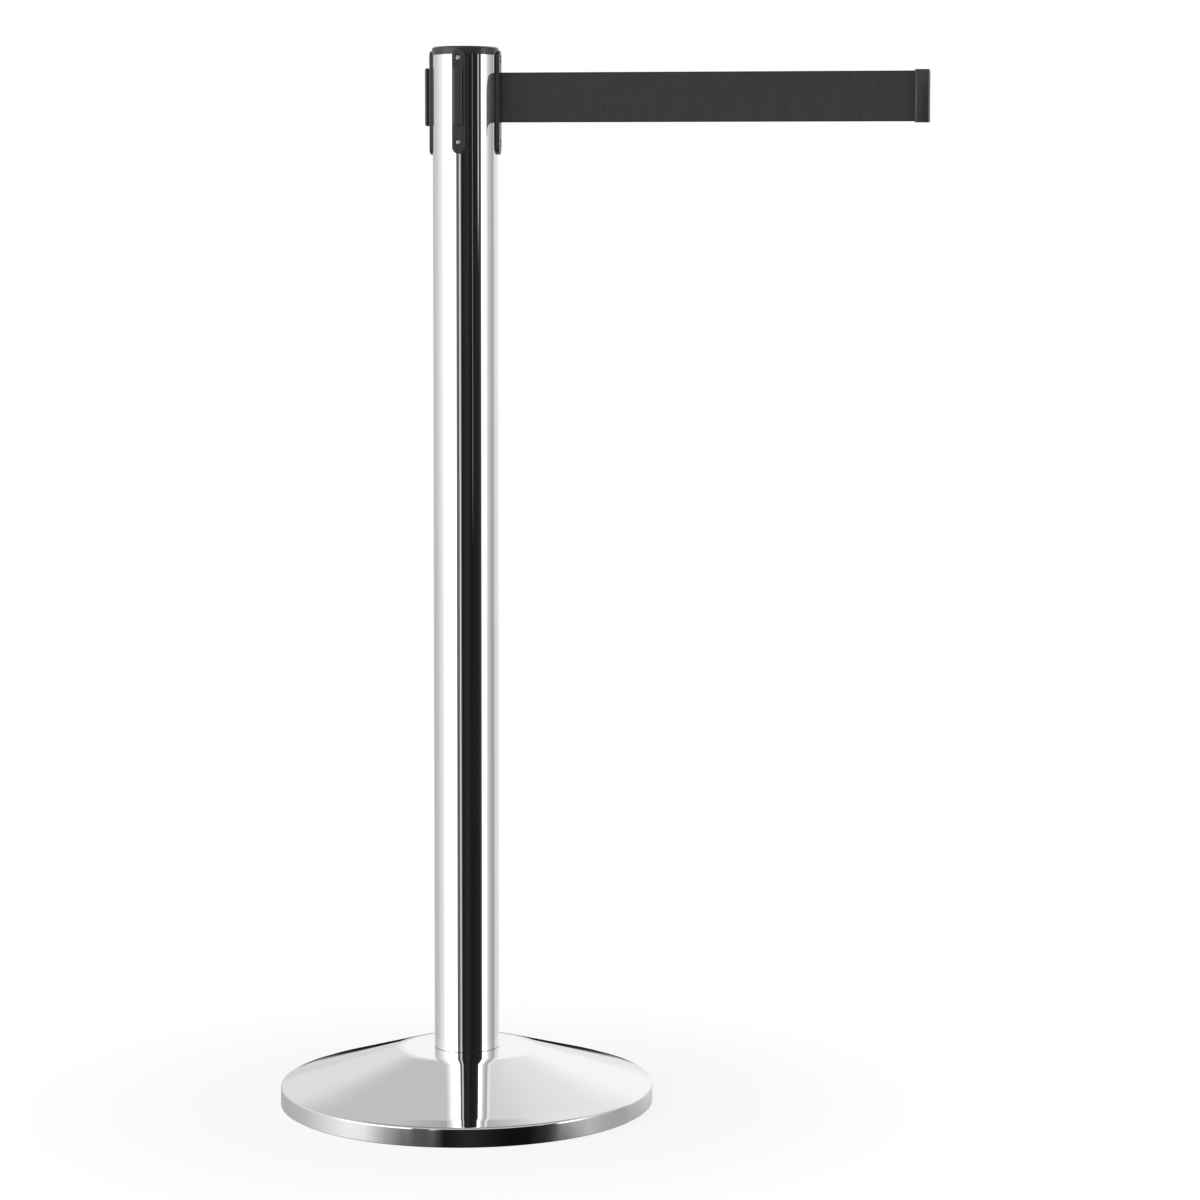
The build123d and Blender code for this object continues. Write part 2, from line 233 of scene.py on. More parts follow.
# Upright ribs with finer picks across them, and faint upright streaks
def wovenBelt():
    look = beltLook
    material, recipe, where = newMaterial("wovenBelt")
    places = recipe.split(where)
    along, height = places[0], places[2]
    wobble = recipe.noise(where, look["wobbleScale"])
    ribs = recipe.maths("SINE", along * (2 * math.pi / look["ribPitch"]) + wobble * look["ribWobble"])
    picks = recipe.maths("SINE", height * (2 * math.pi / look["pickPitch"]))
    thread = ribs * look["ribHeight"] + picks * look["pickHeight"] + ribs * picks * look["knotHeight"]
    stretched = recipe.vectorMaths("MULTIPLY", where, (1.0, 1.0, look["streakStretch"]))
    streaks = recipe.noise(stretched, look["streakScale"], detail=3.0, roughness=0.7)
    low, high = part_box("belt")
    middle, half = (low.z + high.z) / 2, (high.z - low.z) / 2
    edge = recipe.smooth(abs(height - middle), half - look["edge"], half)
    share = (streaks - 0.5) * look["streak"] + thread * look["threadTone"] + 0.5
    colour = recipe.blendColours(share, look["colour"], shade(look["colour"], look["lift"]))
    finishMaterial(recipe, {
        "Base Color": recipe.blendColours(edge, colour, shade(look["colour"], look["edgeShade"])),
        "Roughness": look["roughness"] - thread * look["threadGloss"],
        "Sheen Weight": look["sheen"],
        "Sheen Roughness": look["sheenRoughness"],
        "Normal": recipe.bump(thread + streaks * look["streakHeight"], look["relief"], look["reliefDepth"]),
    })
    return material


metalGrain = {"detail": 4.0, "noiseRoughness": 0.6, "darkest": 0.8, "spread": 0.2, "depth": 0.00005,
              "metallic": 1.0}
plainGrain = {"detail": 5.0, "noiseRoughness": 0.65, "darkest": 0.7, "spread": 0.15, "depth": 0.0002,
              "metallic": 0.0}


def grainyFinish(name, grain, colour, roughness, grainScale, bumpStrength):
    material, recipe, where = newMaterial(name)
    specks = recipe.noise(where, grainScale, grain["detail"], grain["noiseRoughness"])
    finishMaterial(recipe, {
        "Base Color": recipe.blendColours(specks, colour, shade(colour, grain["darkest"])),
        "Metallic": grain["metallic"],
        "Roughness": roughness + (specks - 0.5) * grain["spread"],
        "Normal": recipe.bump(specks, bumpStrength, grain["depth"]),
    })
    return material


# Name, grain, colour, roughness, size of the grain and its relief
finishes = {
    "chrome": polishedChrome(),
    "black_plastic": mouldedBlack(),
    "belt_webbing": wovenBelt(),
    "cast_iron": grainyFinish("paintedCasting", plainGrain, (0.06, 0.06, 0.065), 0.7, 420.0, 0.5),
    "pad_rubber": grainyFinish("padRubber", plainGrain, (0.018, 0.018, 0.018), 0.78, 900.0, 0.35),
    "zinc_steel": grainyFinish("zincSteel", metalGrain, (0.66, 0.67, 0.69), 0.34, 700.0, 0.15),
    "screw_steel": grainyFinish("brightScrew", metalGrain, (0.97, 0.97, 0.97), 0.55, 1400.0, 0.1),
    "spring_steel": grainyFinish("bluedSpring", metalGrain, (0.16, 0.19, 0.27), 0.3, 800.0, 0.1),
    "bronze": grainyFinish("sinteredBronze", metalGrain, (0.56, 0.36, 0.16), 0.42, 1600.0, 0.3),
    "nylon": grainyFinish("naturalNylon", plainGrain, (0.70, 0.68, 0.61), 0.5, 500.0, 0.1),
}
slotOf = {entry["node"]: entry["material_slot"] for entry in frame["record"]["subparts"]}
for node, thing in frame["nodes"].items():
    thing.data.materials.clear()
    thing.data.materials.append(finishes[slotOf[node]])
print("materials made:", len(finishes))


def newPiece(name, bm, slotName, body, sharpDegrees=32.0):
    mesh = bpy.data.meshes.new(name)
    for face in bm.faces:
        face.smooth = True
    bm.to_mesh(mesh)
    bm.free()
    mesh.set_sharp_from_angle(angle=math.radians(sharpDegrees))
    mesh.materials.append(finishes[slotName])
    piece = bpy.data.objects.new(name, mesh)
    bpy.context.scene.collection.objects.link(piece)
    if body:
        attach(piece, body)
    return piece


# Rounds the corners of an outline, with a holding point on the straight beside each arc
def roundedOutline(corners, steps=10, hold=0.6 * mm):
    points = []
    for index, (x, z, radius) in enumerate(corners):
        if radius <= 0 or index in (0, len(corners) - 1):
            points.append((x, z))
            continue
        here = Vector((x, z))
        before = (Vector(corners[index - 1][:2]) - here).normalized()
        after = (Vector(corners[index + 1][:2]) - here).normalized()
        half = before.angle(after) / 2
        reach = radius / math.tan(half)
        centre = here + (before + after).normalized() * (radius / math.sin(half))
        start = here + before * reach - centre
        end = here + after * reach - centre
        sweep = start.angle_signed(end)
        points.append(tuple(here + before * (reach + hold)))
        for step in range(steps + 1):
            turned = start.copy()
            turned.rotate(Matrix.Rotation(-sweep * step / steps, 2))
            points.append(tuple(centre + turned))
        points.append(tuple(here + after * (reach + hold)))
    return points


# Turns an outline round Z. An open one starts and ends on the axis
def spinOutline(points, steps, closed=True):
    bm = bmesh.new()
    verts = [bm.verts.new((x, 0, z)) for x, z in points]
    for pair in zip(verts, verts[1:]):
        bm.edges.new(pair)
    if closed:
        bm.edges.new((verts[-1], verts[0]))
    bmesh.ops.spin(bm, geom=bm.verts[:] + bm.edges[:], cent=(0, 0, 0), axis=(0, 0, 1),
                   angle=2 * math.pi, steps=steps, use_merge=True, use_duplicate=False)
    bmesh.ops.remove_doubles(bm, verts=bm.verts, dist=weld)
    bmesh.ops.recalc_face_normals(bm, faces=bm.faces)
    return bm


def looseObject(name, bm):
    mesh = bpy.data.meshes.new(name)
    bm.to_mesh(mesh)
    bm.free()
    thing = bpy.data.objects.new(name, mesh)
    bpy.context.scene.collection.objects.link(thing)
    return thing


# Unites the first shape with the added ones, cuts the others away, and gives back one closed bmesh
def joinAndCut(first, added, cutters):
    body = looseObject("carved", first)
    tools = [("UNION", looseObject("added", bm)) for bm in added]
    tools += [("DIFFERENCE", looseObject("cutter", bm)) for bm in cutters]
    for operation, tool in tools:
        modifier = body.modifiers.new(operation, "BOOLEAN")
        modifier.operation = operation
        modifier.solver = "EXACT"
        modifier.object = tool
    graph = bpy.context.evaluated_depsgraph_get()
    mesh = bpy.data.meshes.new_from_object(body.evaluated_get(graph))
    bm = bmesh.new()
    bm.from_mesh(mesh)
    for thing in [body] + [tool for operation, tool in tools]:
        bpy.data.objects.remove(thing)
    bmesh.ops.remove_doubles(bm, verts=bm.verts, dist=weld)
    bmesh.ops.recalc_face_normals(bm, faces=bm.faces)
    return bm


def bevelEdges(bm, edges, offset, steps):
    bmesh.ops.bevel(bm, geom=edges, offset=offset, offset_type="OFFSET", segments=steps, profile=0.5,
                    affect="EDGES", material=-1, clamp_overlap=False)


def plainBlock(low, high):
    low, high = Vector(low), Vector(high)
    bm = bmesh.new()
    place = Matrix.Translation((low + high) / 2) @ Matrix.Diagonal((*(high - low), 1))
    bmesh.ops.create_cube(bm, size=1.0, matrix=place)
    return bm


def edgesAlong(bm, axis):
    def isAlong(edge):
        run = edge.verts[1].co - edge.verts[0].co
        return abs(run[axis]) > parallel * run.length
    return [edge for edge in bm.edges if isAlong(edge)]


# A block whose corners are round as seen from +X, with a softened edge round its +X face
def frontBlock(low, high, corner, edge, cornerSteps=10, edgeSteps=4):
    bm = plainBlock(low, high)
    bevelEdges(bm, edgesAlong(bm, 0), corner, cornerSteps)
    bmesh.ops.remove_doubles(bm, verts=bm.verts, dist=10 * weld)
    front = max(bm.faces, key=lambda face: face.calc_center_median().x)
    bevelEdges(bm, front.edges[:], edge, edgeSteps)
    return bm


# A round bar or cone between two places
def bar(start, end, startRadius, endRadius=None, segments=48):
    start, end = Vector(start), Vector(end)
    turned = (end - start).to_track_quat("Z", "Y").to_matrix().to_4x4()
    place = Matrix.Translation((start + end) / 2) @ turned
    endRadius = startRadius if endRadius is None else endRadius
    bm = bmesh.new()
    bmesh.ops.create_cone(bm, cap_ends=True, cap_tris=False, segments=segments, radius1=startRadius,
                          radius2=endRadius, depth=(end - start).length, matrix=place)
    return bm


cover = {"wall": 1.2 * mm, "shoulderRound": 50 * mm, "plateauCorner": 65.5 * mm, "rimCorner": 19.6 * mm,
         "rimRound": 2.2 * mm, "holeRadius": 6.5 * mm, "segments": 256, "outerSteps": 16, "innerSteps": 8,
         "leadRadius": 170 * mm, "leadDrop": 0.7 * mm, "leadRound": 120 * mm}


# Flat top, cone, a slightly steeper lead-in to the rim, and the same again one wall further in
def makeBaseCover():
    low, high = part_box("base_cover")
    rim, top = high.x, high.z
    wall, lead = cover["wall"], cover["leadRadius"]
    tilt = math.atan2(top - cover["rimCorner"], rim - cover["plateauCorner"])
    drop = wall / math.cos(tilt)
    plateauInside = cover["plateauCorner"] + (wall - drop) / math.tan(tilt)
    rimCorner = cover["rimCorner"] - cover["leadDrop"]
    rimInside = rimCorner - drop + wall * math.tan(tilt)
    leadHeight = cover["rimCorner"] + (rim - lead) * math.tan(tilt)
    outer = [(cover["holeRadius"], top, 0), (cover["plateauCorner"], top, cover["shoulderRound"]),
             (lead, leadHeight, cover["leadRound"]), (rim, rimCorner, cover["rimRound"]), (rim, low.z, 0)]
    inner = [(rim - wall, low.z, 0), (rim - wall, rimInside, cover["rimRound"] - wall),
             (lead, leadHeight - drop, cover["leadRound"]),
             (plateauInside, top - wall, cover["shoulderRound"]), (cover["holeRadius"], top - wall, 0)]
    outline = roundedOutline(outer, cover["outerSteps"]) + roundedOutline(inner, cover["innerSteps"])
    bm = spinOutline(outline, cover["segments"])
    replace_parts(newPiece("baseCover", bm, "chrome", bodyOf["base_cover"]), "base_cover")


makeBaseCover()


post = {"wall": 1.5 * mm, "slotWidth": 7.8 * mm, "slotMargin": 1.0 * mm, "segments": 240}


# A tube raised in three lengths, so that the belt's mouth can be cut from the middle one
def makePost():
    low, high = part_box("post_tube")
    beltLow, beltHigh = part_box("belt")
    radius = high.x
    levels = [low.z, beltLow.z - post["slotMargin"], beltHigh.z + post["slotMargin"], high.z]
    bm = bmesh.new()
    ring = bmesh.ops.create_circle(bm, cap_ends=False, segments=post["segments"], radius=radius,
                                   matrix=Matrix.Translation((0, 0, levels[0])))
    edges = list({edge for vert in ring["verts"] for edge in vert.link_edges})
    for below, above in zip(levels, levels[1:]):
        made = bmesh.ops.extrude_edge_only(bm, edges=edges)
        lifted = [item for item in made["geom"] if isinstance(item, bmesh.types.BMVert)]
        edges = [item for item in made["geom"] if isinstance(item, bmesh.types.BMEdge)]
        bmesh.ops.translate(bm, vec=(0, 0, above - below), verts=lifted)
    slot = []
    for face in bm.faces:
        middle = face.calc_center_median()
        isBeltHigh = levels[1] < middle.z < levels[2]
        if isBeltHigh and middle.x > 0 and abs(middle.y) < post["slotWidth"] / 2:
            slot.append(face)
    bmesh.ops.delete(bm, geom=slot, context="FACES")
    bmesh.ops.recalc_face_normals(bm, faces=bm.faces)
    bmesh.ops.solidify(bm, geom=bm.faces[:], thickness=post["wall"])
    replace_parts(newPiece("postTube", bm, "chrome", bodyOf["post_tube"]), "post_tube")


makePost()


pad = {"step": 0.2 * mm, "lip": 0.9 * mm, "footRound": 0.4 * mm, "segments": 192, "arcSteps": 4,
       "hold": 0.1 * mm, "grooves": 6, "outerGroove": 168 * mm, "groovePitch": 18 * mm,
       "grooveHalf": 1.5 * mm, "grooveDepth": 0.5 * mm}


# A disc with a stepped edge and round grooves underneath
def makeBasePad():
    low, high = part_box("base_pad")
    outer = high.x
    outline = [(0, high.z, 0), (outer - pad["step"], high.z, 0), (outer - pad["step"], pad["lip"], 0),
               (outer, pad["lip"], 0), (outer, low.z, pad["footRound"])]
    half, depth = pad["grooveHalf"], pad["grooveDepth"]
    for index in range(pad["grooves"]):
        middle = pad["outerGroove"] - index * pad["groovePitch"]
        outline += [(middle + half, low.z, 0), (middle + half / 2, low.z + depth, 0)]
        outline += [(middle - half / 2, low.z + depth, 0), (middle - half, low.z, 0)]
    outline.append((0, low.z, 0))
    outline = roundedOutline(outline, pad["arcSteps"], pad["hold"])
    bm = spinOutline(outline, pad["segments"], closed=False)
    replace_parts(newPiece("basePad", bm, "pad_rubber", bodyOf["base_pad"]), "base_pad")


makeBasePad()
print("base and post made")


cap = {"chamferWidth": 1.7 * mm, "chamferHeight": 1.2 * mm, "softening": 0.45 * mm, "underRound": 0.25 * mm,
       "spigotWall": 4.0 * mm, "wallGap": 0.05 * mm, "segments": 240, "arcSteps": 5, "hold": 0.4 * mm}


def makeTopCap():
    low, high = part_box("top_cap")
    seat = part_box("post_tube")[1].z
    outer = high.x
    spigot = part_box("post_tube")[1].x - post["wall"] - cap["wallGap"]
    inner = spigot - cap["spigotWall"]
    outline = [(0, high.z, 0), (outer - cap["chamferWidth"], high.z, cap["softening"]),
               (outer, high.z - cap["chamferHeight"], cap["softening"]), (outer, seat, cap["underRound"]),
               (spigot, seat, 0), (spigot, low.z, cap["underRound"]), (inner, low.z, cap["underRound"]),
               (inner, seat, 0), (0, seat, 0)]
    outline = roundedOutline(outline, cap["arcSteps"], cap["hold"])
    bm = spinOutline(outline, cap["segments"], closed=False)
    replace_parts(newPiece("topCap", bm, "black_plastic", bodyOf["top_cap"]), "top_cap")


makeTopCap()


screw = {"headRadius": 2.6 * mm, "headHeight": 1.5 * mm, "edge": 0.45 * mm, "edgeRound": 0.25 * mm,
         "domeWidth": 0.8, "domeHeight": 0.78, "domeRound": 0.6 * mm, "crown": 1.15 * mm,
         "crownRound": 0.3 * mm, "radius": 1.5 * mm, "length": 6.5 * mm, "tipRound": 0.2 * mm,
         "socketFlats": 2.0 * mm, "socketDepth": 1.0 * mm, "seatDepth": 1.7 * mm,
         "arcSteps": 4, "hold": 0.02 * mm, "segments": 48, "turnPerSide": 0.4}


def screwHeights():
    low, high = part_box("strip_screws")
    return low.z + screw["headRadius"], high.z - screw["headRadius"]


# Head and shank along +Z, with the head's seat at zero
def oneScrew():
    top, length = screw["headHeight"], screw["length"]
    radius, headRadius = screw["radius"], screw["headRadius"]
    outline = [(0, -length, 0), (radius, -length, screw["tipRound"]), (radius, 0, 0), (headRadius, 0, 0),
               (headRadius, screw["edge"], screw["edgeRound"]),
               (headRadius * screw["domeWidth"], top * screw["domeHeight"], screw["domeRound"]),
               (screw["crown"], top, screw["crownRound"]), (0, top, 0)]
    outline = roundedOutline(outline, screw["arcSteps"], screw["hold"])
    head = spinOutline(outline, screw["segments"], closed=False)
    cornerRadius = screw["socketFlats"] / 2 / math.cos(math.pi / 6)
    socket = bar((0, 0, top - screw["socketDepth"]), (0, 0, top + overcut), cornerRadius, segments=6)
    return joinAndCut(head, [], [socket])


# Two screws in each of the four plates
def makeStripScrews():
    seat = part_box("outlet_strip")[1].x - screw["seatDepth"]
    master = bpy.data.meshes.new("oneScrew")
    oneScrew().to_mesh(master)
    bm = bmesh.new()
    for height in screwHeights():
        for quarter in range(4):
            before = len(bm.verts)
            bm.from_mesh(master)
            bm.verts.ensure_lookup_table()
            side = Matrix.Rotation(quarter * math.pi / 2, 4, "Z")
            outward = Matrix.Translation((seat, 0, height)) @ Matrix.Rotation(math.pi / 2, 4, "Y")
            place = side @ outward @ Matrix.Rotation(quarter * screw["turnPerSide"], 4, "Z")
            bmesh.ops.transform(bm, matrix=place, verts=bm.verts[before:])
    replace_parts(newPiece("stripScrews", bm, "screw_steel", bodyOf["strip_screws"]), "strip_screws")


makeStripScrews()


plate = {"blankDepth": 10 * mm, "edgeRound": 0.9 * mm, "edgeSteps": 5, "cornerSteps": 14,
         "cornerShare": 0.9999, "fitGap": 0.05 * mm, "boreRadius": 3.25 * mm, "mouth": 0.25 * mm,
         "mouthReach": 0.9 * mm, "holeRadius": 1.55 * mm, "holeDepth": 6 * mm, "holeJoin": 0.1 * mm,
         "slotHalf": 1.275 * mm, "slotMargin": 1.0 * mm}
rail = {"neckDepth": 2.5 * mm, "neckHalf": 2.5 * mm, "neckCorner": 0.3 * mm, "neckEdge": 0.1 * mm,
        "headHalf": 4.5 * mm, "corner": 2.3 * mm, "cornerSteps": 8, "edgeRound": 2.1 * mm,
        "edgeSteps": 10, "sink": 0.3 * mm, "aboveBelt": 4.5 * mm, "belowBelt": 3.5 * mm}


# Counterbore, its softened mouth and the screw's hole, for each screw of a plate whose face is at this X
def screwCutters(face):
    seat = face - screw["seatDepth"]
    reach = plate["mouthReach"]
    middle = plate["boreRadius"] + plate["mouth"]
    cutters = []
    for z in screwHeights():
        cutters.append(bar((seat, 0, z), (face + overcut, 0, z), plate["boreRadius"]))
        cutters.append(bar((face - reach, 0, z), (face + reach, 0, z), middle - reach, middle + reach))
        holeEnd = (seat + plate["holeJoin"], 0, z)
        cutters.append(bar((seat - plate["holeDepth"], 0, z), holeEnd, plate["holeRadius"], segments=24))
    return cutters


# The neck and the wider head of a T rail, standing on a plate whose face is at this X
def railParts(face):
    beltLow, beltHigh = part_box("belt")
    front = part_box("receiver_rear")[1].y
    neckEnd, sink = face + rail["neckDepth"], rail["sink"]
    top, bottom = beltHigh.z + rail["aboveBelt"], beltLow.z - rail["belowBelt"]
    neckLow = (face - plate["edgeRound"], -rail["neckHalf"], bottom + sink)
    neckHigh = (neckEnd + sink, rail["neckHalf"], top - sink)
    headLow, headHigh = (neckEnd, -rail["headHalf"], bottom), (front, rail["headHalf"], top)
    neck = frontBlock(neckLow, neckHigh, rail["neckCorner"], rail["neckEdge"])
    head = frontBlock(headLow, headHigh, rail["corner"], rail["edgeRound"], rail["cornerSteps"],
                      rail["edgeSteps"])
    return [neck, head]


# The belt's mouth through the outlet plate
def mouthCutter(face):
    beltLow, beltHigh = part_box("belt")
    half, margin = plate["slotHalf"], plate["slotMargin"]
    return plainBlock((0, -half, beltLow.z - margin), (face + overcut, half, beltHigh.z + margin))


# Made on the +X side, then turned by quarters to its own side of the head
def makePlate(node, name, quarter, hasRail):
    stripLow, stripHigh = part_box("outlet_strip")
    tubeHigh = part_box("post_tube")[1]
    face, half = stripHigh.x, stripHigh.y
    blankLow, blankHigh = (face - plate["blankDepth"], -half, stripLow.z), (face, half, stripHigh.z)
    blank = frontBlock(blankLow, blankHigh, half * plate["cornerShare"], plate["edgeRound"],
                       plate["cornerSteps"], plate["edgeSteps"])
    below, above = stripLow.z - overcut, stripHigh.z + overcut
    tubeRadius = tubeHigh.x + plate["fitGap"]
    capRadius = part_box("top_cap")[1].x + plate["fitGap"]
    capSeat = tubeHigh.z - plate["fitGap"]
    cutters = [bar((0, 0, below), (0, 0, above), tubeRadius, segments=post["segments"]),
               bar((0, 0, capSeat), (0, 0, above), capRadius, segments=cap["segments"])]
    cutters += screwCutters(face)
    if not hasRail:
        cutters.append(mouthCutter(face))
    bm = joinAndCut(blank, railParts(face) if hasRail else [], cutters)
    turned = Matrix.Rotation(quarter * math.pi / 2, 3, "Z")
    bmesh.ops.rotate(bm, cent=(0, 0, 0), matrix=turned, verts=bm.verts)
    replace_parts(newPiece(name, bm, "black_plastic", bodyOf[node], sharpDegrees=24.0), node)


makePlate("outlet_strip", "outletStrip", 0, False)
makePlate("receiver_rear", "receiverRear", 1, True)
makePlate("receiver_left", "receiverLeft", 2, True)
makePlate("receiver_front", "receiverFront", 3, True)
print("head made")


strap = {"selvedge": 0.2 * mm, "selvedgeSteps": 3}


# The straight run from the post to the clip
def makeBelt():
    low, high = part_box("belt")
    bm = plainBlock(low, high)
    bevelEdges(bm, edgesAlong(bm, 0), strap["selvedge"], strap["selvedgeSteps"])
    bmesh.ops.recalc_face_normals(bm, faces=bm.faces)
    piece = newPiece("beltRun", bm, "belt_webbing", None)
    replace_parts(piece, "belt")
    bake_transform(piece)


makeBelt()


clip = {"corner": 2.5 * mm, "cornerSteps": 6, "endRound": 0.7 * mm, "endSteps": 3, "roof": 3.0 * mm,
        "lip": 2.2 * mm, "lipJoin": 0.1 * mm, "slack": 0.3 * mm, "pinRadius": 1.2 * mm, "pinSegments": 32,
        "slitHalf": 0.375 * mm, "slitMargin": 0.1 * mm}


# A block with a T slot, open below and in front, that drops over another post's rail
def makeClip():
    low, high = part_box("clip_body")
    beltLow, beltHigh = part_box("belt")
    body = plainBlock(low, high)
    bevelEdges(body, edgesAlong(body, 2), clip["corner"], clip["cornerSteps"])
    ends = [edge for face in body.faces if abs(face.normal.z) > parallel for edge in face.edges]
    bevelEdges(body, ends, clip["endRound"], clip["endSteps"])
    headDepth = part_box("receiver_rear")[1].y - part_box("outlet_strip")[1].x - rail["neckDepth"]
    under, roof = low.z - overcut, high.z - clip["roof"]
    lipFace = high.x - clip["lip"]
    headBack = lipFace - headDepth - 2 * clip["slack"]
    neckHalf, headHalf = rail["neckHalf"] + clip["slack"], rail["headHalf"] + clip["slack"]
    slitHalf, slitMargin = clip["slitHalf"], clip["slitMargin"]
    pinX = beltHigh.x + clip["pinRadius"]
    cutters = [
        plainBlock((lipFace - clip["lipJoin"], -neckHalf, under), (high.x + overcut, neckHalf, roof)),
        plainBlock((headBack, -headHalf, under), (lipFace, headHalf, roof)),
        plainBlock((low.x - overcut, -slitHalf, beltLow.z - slitMargin),
                   (pinX, slitHalf, beltHigh.z + slitMargin)),
        bar((pinX, 0, under), (pinX, 0, roof), clip["pinRadius"], segments=clip["pinSegments"]),
    ]
    bm = joinAndCut(body, [], cutters)
    piece = newPiece("clipBody", bm, "black_plastic", bodyOf["clip_body"], sharpDegrees=24.0)
    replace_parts(piece, "clip_body")


makeClip()
print("belt and clip made")


# Walls of the room as angle and display grey. Zero is on the camera's side, and minus is to its left
roomGreys = [(-180, 222), (-160, 196), (-129, 200), (-114, 215), (-102, 234), (-90, 246), (-75, 254),
             (-35, 254), (-33, 108), (-24, 94), (-21, 245), (-18, 150), (-15, 28), (0, 42), (8, 44),
             (16, 27), (45, 38), (55, 66), (59, 254), (70, 253), (79, 242), (88, 203), (97, 188),
             (108, 166), (114, 172), (121, 220), (138, 230), (165, 246), (180, 222)]
# The same close to the floor, where the base's rim mirrors it
floorGreys = [(-180, 184), (-149, 180), (-118, 194), (-97, 227), (-80, 248), (-66, 240), (-52, 165),
              (-40, 95), (-22, 82), (-14, 24), (0, 42), (12, 32), (25, 16), (38, 18), (50, 50),
              (64, 119), (80, 190), (97, 172), (118, 174), (149, 194), (180, 184)]
# Slits of light in the dark front wall: angle, half width, display grey and the height where they end
slits = [(45.5, 3.0, 225, -0.01), (24.0, 2.0, 130, -0.09)]
# Heights are the Z of a direction, from -1 straight down to 1 straight up
room = {"cameraSide": 12.0, "panelGrey": 250, "panelBoost": 1.8, "background": 1.0, "slitFade": 0.03,
        "floorStart": 0.232, "floorEnd": 0.25,
        "gapHalf": 7, "gapGrey": 24, "gapTop": -0.03, "gapTopFade": 0.02, "gapBottom": -0.3,
        "gapBottomFade": 0.05, "backSide": (95, 125), "backTurn": (-0.14, -0.03), "backGreys": (224, 249),
        "backHeights": (0.08, 0.18), "ceilingTurn": (-0.1, 0.25), "ceilingGreys": (194, 232),
        "ceilingHeights": (0.38, 0.6), "frontHeights": (0.06, 0.3), "frontGrey": 200,
        "topHeights": (0.745, 0.85), "topGrey": 140, "secondBounce": (2.2, 2.8),
        "belowDim": 0.9, "belowFade": 0.15}


def panelLight(grey):
    return linear(grey) * (room["panelBoost"] if grey >= room["panelGrey"] else 1.0)


def greyLight(grey):
    return (linear(grey),) * 3


def wallRamp(recipe, greys, turn):
    stops = [((place + 180) / 360, (panelLight(grey),) * 3) for place, grey in greys]
    return recipe.add("ShaderNodeValToRGB", {"stops": stops}, {0: turn})


def leftToRight(recipe, rightward, places, greys):
    left, right = (greyLight(grey) for grey in greys)
    return recipe.blendColours(recipe.smooth(rightward, *places), left, right)


def makeRoom():
    world = bpy.data.worlds.new("studioRoom")
    bpy.context.scene.world = world
    world.use_nodes = True
    world.node_tree.nodes.clear()
    recipe = Recipe(world.node_tree)
    where = recipe.add("ShaderNodeTexCoord", out="Generated")
    x, y, z = recipe.split(where)
    angle = recipe.maths("ARCTAN2", x, -y)
    turn = (angle * (180 / math.pi) - room["cameraSide"] + 540.0) / 360.0
    turn = recipe.maths("FRACT", turn)
    walls, nearFloor = (wallRamp(recipe, greys, turn) for greys in (roomGreys, floorGreys))
    low = recipe.smooth(-z, room["floorStart"], room["floorEnd"])
    sides = recipe.blendColours(low, walls, nearFloor)
    for place, half, grey, foot in slits:
        beside = abs(turn - (0.5 + place / 360)) * 360.0
        slit = recipe.smooth(-beside, -half, 0.0) * recipe.smooth(z, foot, foot + room["slitFade"])
        sides = recipe.blendColours(slit, sides, greyLight(grey))

    # Dark gap low down behind the post
    fromFront = abs(turn - 0.5) * 360.0
    gap = recipe.smooth(fromFront, 180 - room["gapHalf"], 180 - room["gapHalf"] / 2)
    gap = gap * recipe.smooth(-z, -room["gapTop"], room["gapTopFade"] - room["gapTop"])
    gap = gap * recipe.smooth(z, room["gapBottom"] - room["gapBottomFade"], room["gapBottom"])
    sides = recipe.blendColours(gap, sides, greyLight(room["gapGrey"]))

    # Over the walls: a pale backdrop and ceiling behind the post, dimmer to the left, and a plain front
    cameraSide = math.radians(room["cameraSide"])
    right = (math.cos(cameraSide), math.sin(cameraSide), 0.0)
    rightward = recipe.vectorMaths("DOT_PRODUCT", where, right, out="Value")
    behind = recipe.smooth(fromFront, *room["backSide"])
    backdrop = leftToRight(recipe, rightward, room["backTurn"], room["backGreys"])
    ceiling = leftToRight(recipe, rightward, room["ceilingTurn"], room["ceilingGreys"])
    whole = recipe.blendColours(recipe.smooth(z, *room["backHeights"]) * behind, sides, backdrop)
    whole = recipe.blendColours(recipe.smooth(z, *room["ceilingHeights"]) * behind, whole, ceiling)
    front = recipe.smooth(z, *room["frontHeights"]) * (1 - behind)
    whole = recipe.blendColours(front, whole, greyLight(room["frontGrey"]))
    top = recipe.smooth(z, *room["topHeights"])
    whole = recipe.blendColours(top, whole, greyLight(room["topGrey"]))

    # What is mirrored twice keeps the walls' tall panels at any height. The sky counts as one bounce more
    bounces = recipe.add("ShaderNodeLightPath", out="Ray Depth")
    whole = recipe.blendColours(recipe.smooth(bounces, *room["secondBounce"]), whole, walls)
    under = recipe.smooth(-z, 0.0, room["belowFade"]) * (1 - room["belowDim"])
    whole = recipe.blendColours(under, whole, (0.0, 0.0, 0.0))

    # The camera itself sees a plain white background
    seen = recipe.add("ShaderNodeLightPath", out="Is Camera Ray")
    colour = recipe.blendColours(seen, whole, (room["background"],) * 3)
    light = recipe.add("ShaderNodeBackground", None, {"Color": colour, "Strength": 1.0})
    recipe.add("ShaderNodeOutputWorld", None, {"Surface": light})


floorLook = {"radius": 30.0, "segments": 96, "glow": 0.84, "paint": 0.92, "fadeStart": 0.2, "fadeEnd": 0.5}


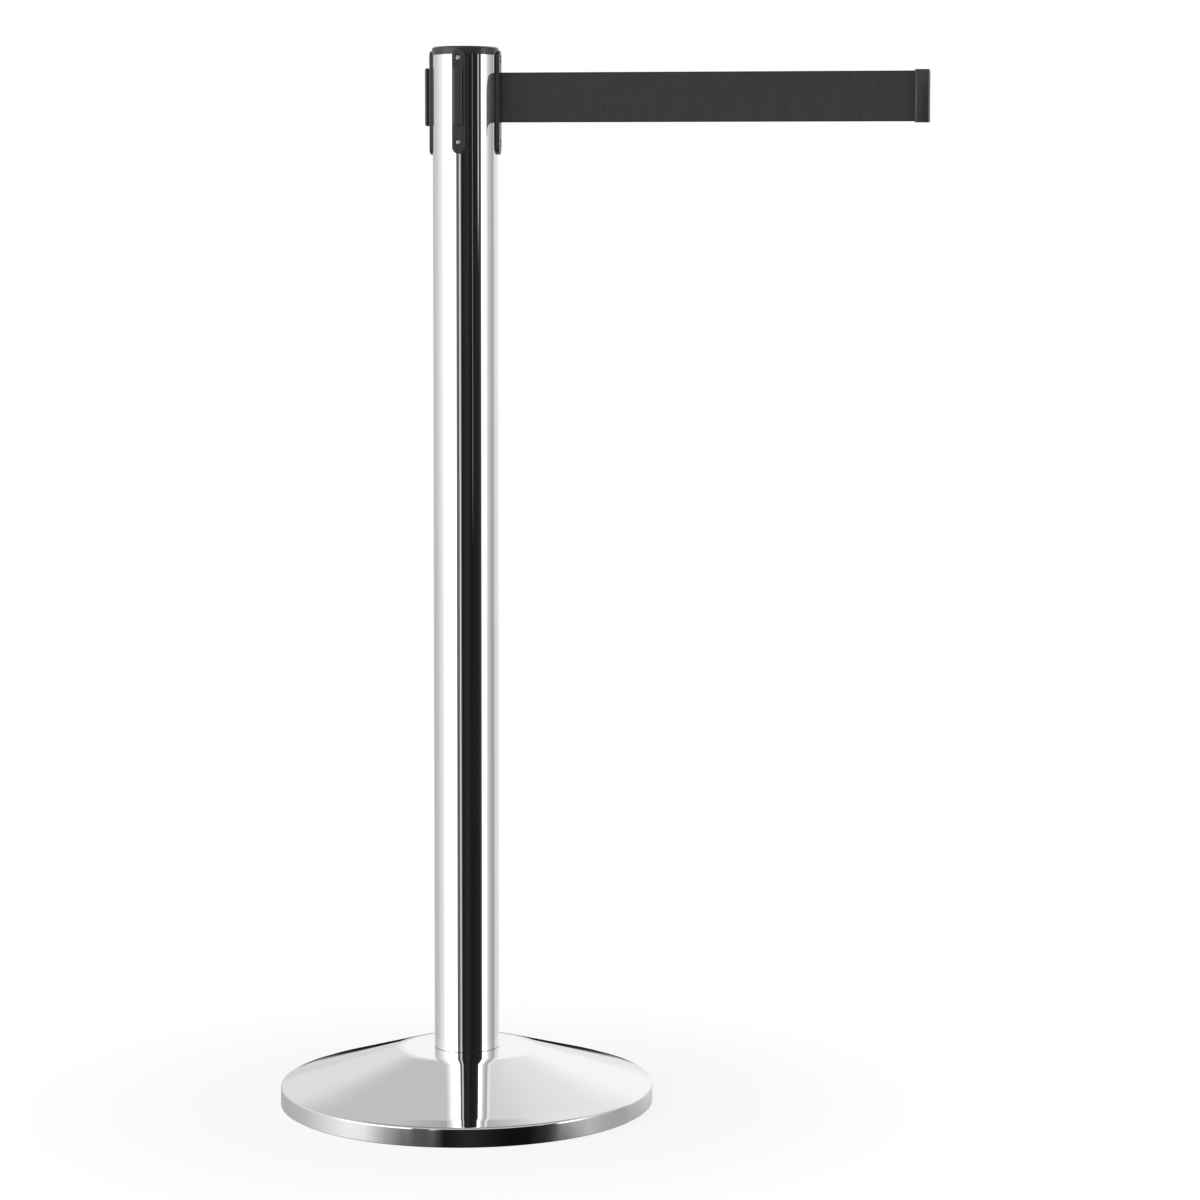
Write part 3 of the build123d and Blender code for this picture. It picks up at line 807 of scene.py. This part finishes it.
# Matt paint under the base, which fades into plain white further out
def makeFloor():
    bm = bmesh.new()
    bmesh.ops.create_circle(bm, cap_ends=True, segments=floorLook["segments"], radius=floorLook["radius"])
    mesh = bpy.data.meshes.new("studioFloor")
    bm.to_mesh(mesh)
    bm.free()
    floor = bpy.data.objects.new("studioFloor", mesh)
    bpy.context.scene.collection.objects.link(floor)
    material, recipe, where = newMaterial("studioFloor")
    away = recipe.vectorMaths("LENGTH", where, out="Value")
    far = recipe.smooth(away, floorLook["fadeStart"], floorLook["fadeEnd"])
    paint = recipe.add("ShaderNodeBsdfDiffuse", None, {"Color": (floorLook["paint"],) * 3})
    glow = recipe.add("ShaderNodeEmission", None, {"Color": (1.0, 1.0, 1.0), "Strength": 1.0})
    share = floorLook["glow"] + far * (1 - floorLook["glow"])
    surface = recipe.add("ShaderNodeMixShader", None, {0: share, 1: paint, 2: glow})
    recipe.add("ShaderNodeOutputMaterial", None, {"Surface": surface})
    mesh.materials.append(material)
    floor.visible_glossy = False


softbox = {"place": (-1.6, -1.8, 2.4), "aim": (0, 0, 0.6), "size": 1.8, "power": 28.0}


def makeSoftbox():
    data = bpy.data.lights.new("softbox", "AREA")
    data.shape = "SQUARE"
    data.size = softbox["size"]
    data.energy = softbox["power"]
    light = bpy.data.objects.new("softbox", data)
    light.location = softbox["place"]
    light.rotation_euler = (Vector(softbox["aim"]) - light.location).to_track_quat("-Z", "Y").to_euler()
    bpy.context.scene.collection.objects.link(light)
    light.visible_glossy = False


lens = {"place": (0.705, -3.318, 0.85), "yaw": 8.988, "pitch": -4.529, "roll": 0.143,
        "focal": 104.17, "sensor": 36.0, "shift": (-0.04, -0.07)}


def makeCamera():
    data = bpy.data.cameras.new("camera")
    data.sensor_width = lens["sensor"]
    data.lens = lens["focal"]
    data.shift_x, data.shift_y = lens["shift"]
    camera = bpy.data.objects.new("camera", data)
    yaw, pitch, roll = (math.radians(lens[key]) for key in ("yaw", "pitch", "roll"))
    aimed = Matrix.Rotation(yaw, 4, "Z") @ Matrix.Rotation(math.pi / 2 + pitch, 4, "X")
    camera.matrix_world = Matrix.Translation(lens["place"]) @ aimed @ Matrix.Rotation(roll, 4, "Z")
    bpy.context.scene.collection.objects.link(camera)
    bpy.context.scene.camera = camera


makeRoom()
makeFloor()
makeSoftbox()
makeCamera()
bpy.context.scene.view_settings.view_transform = "Standard"
print("studio made")
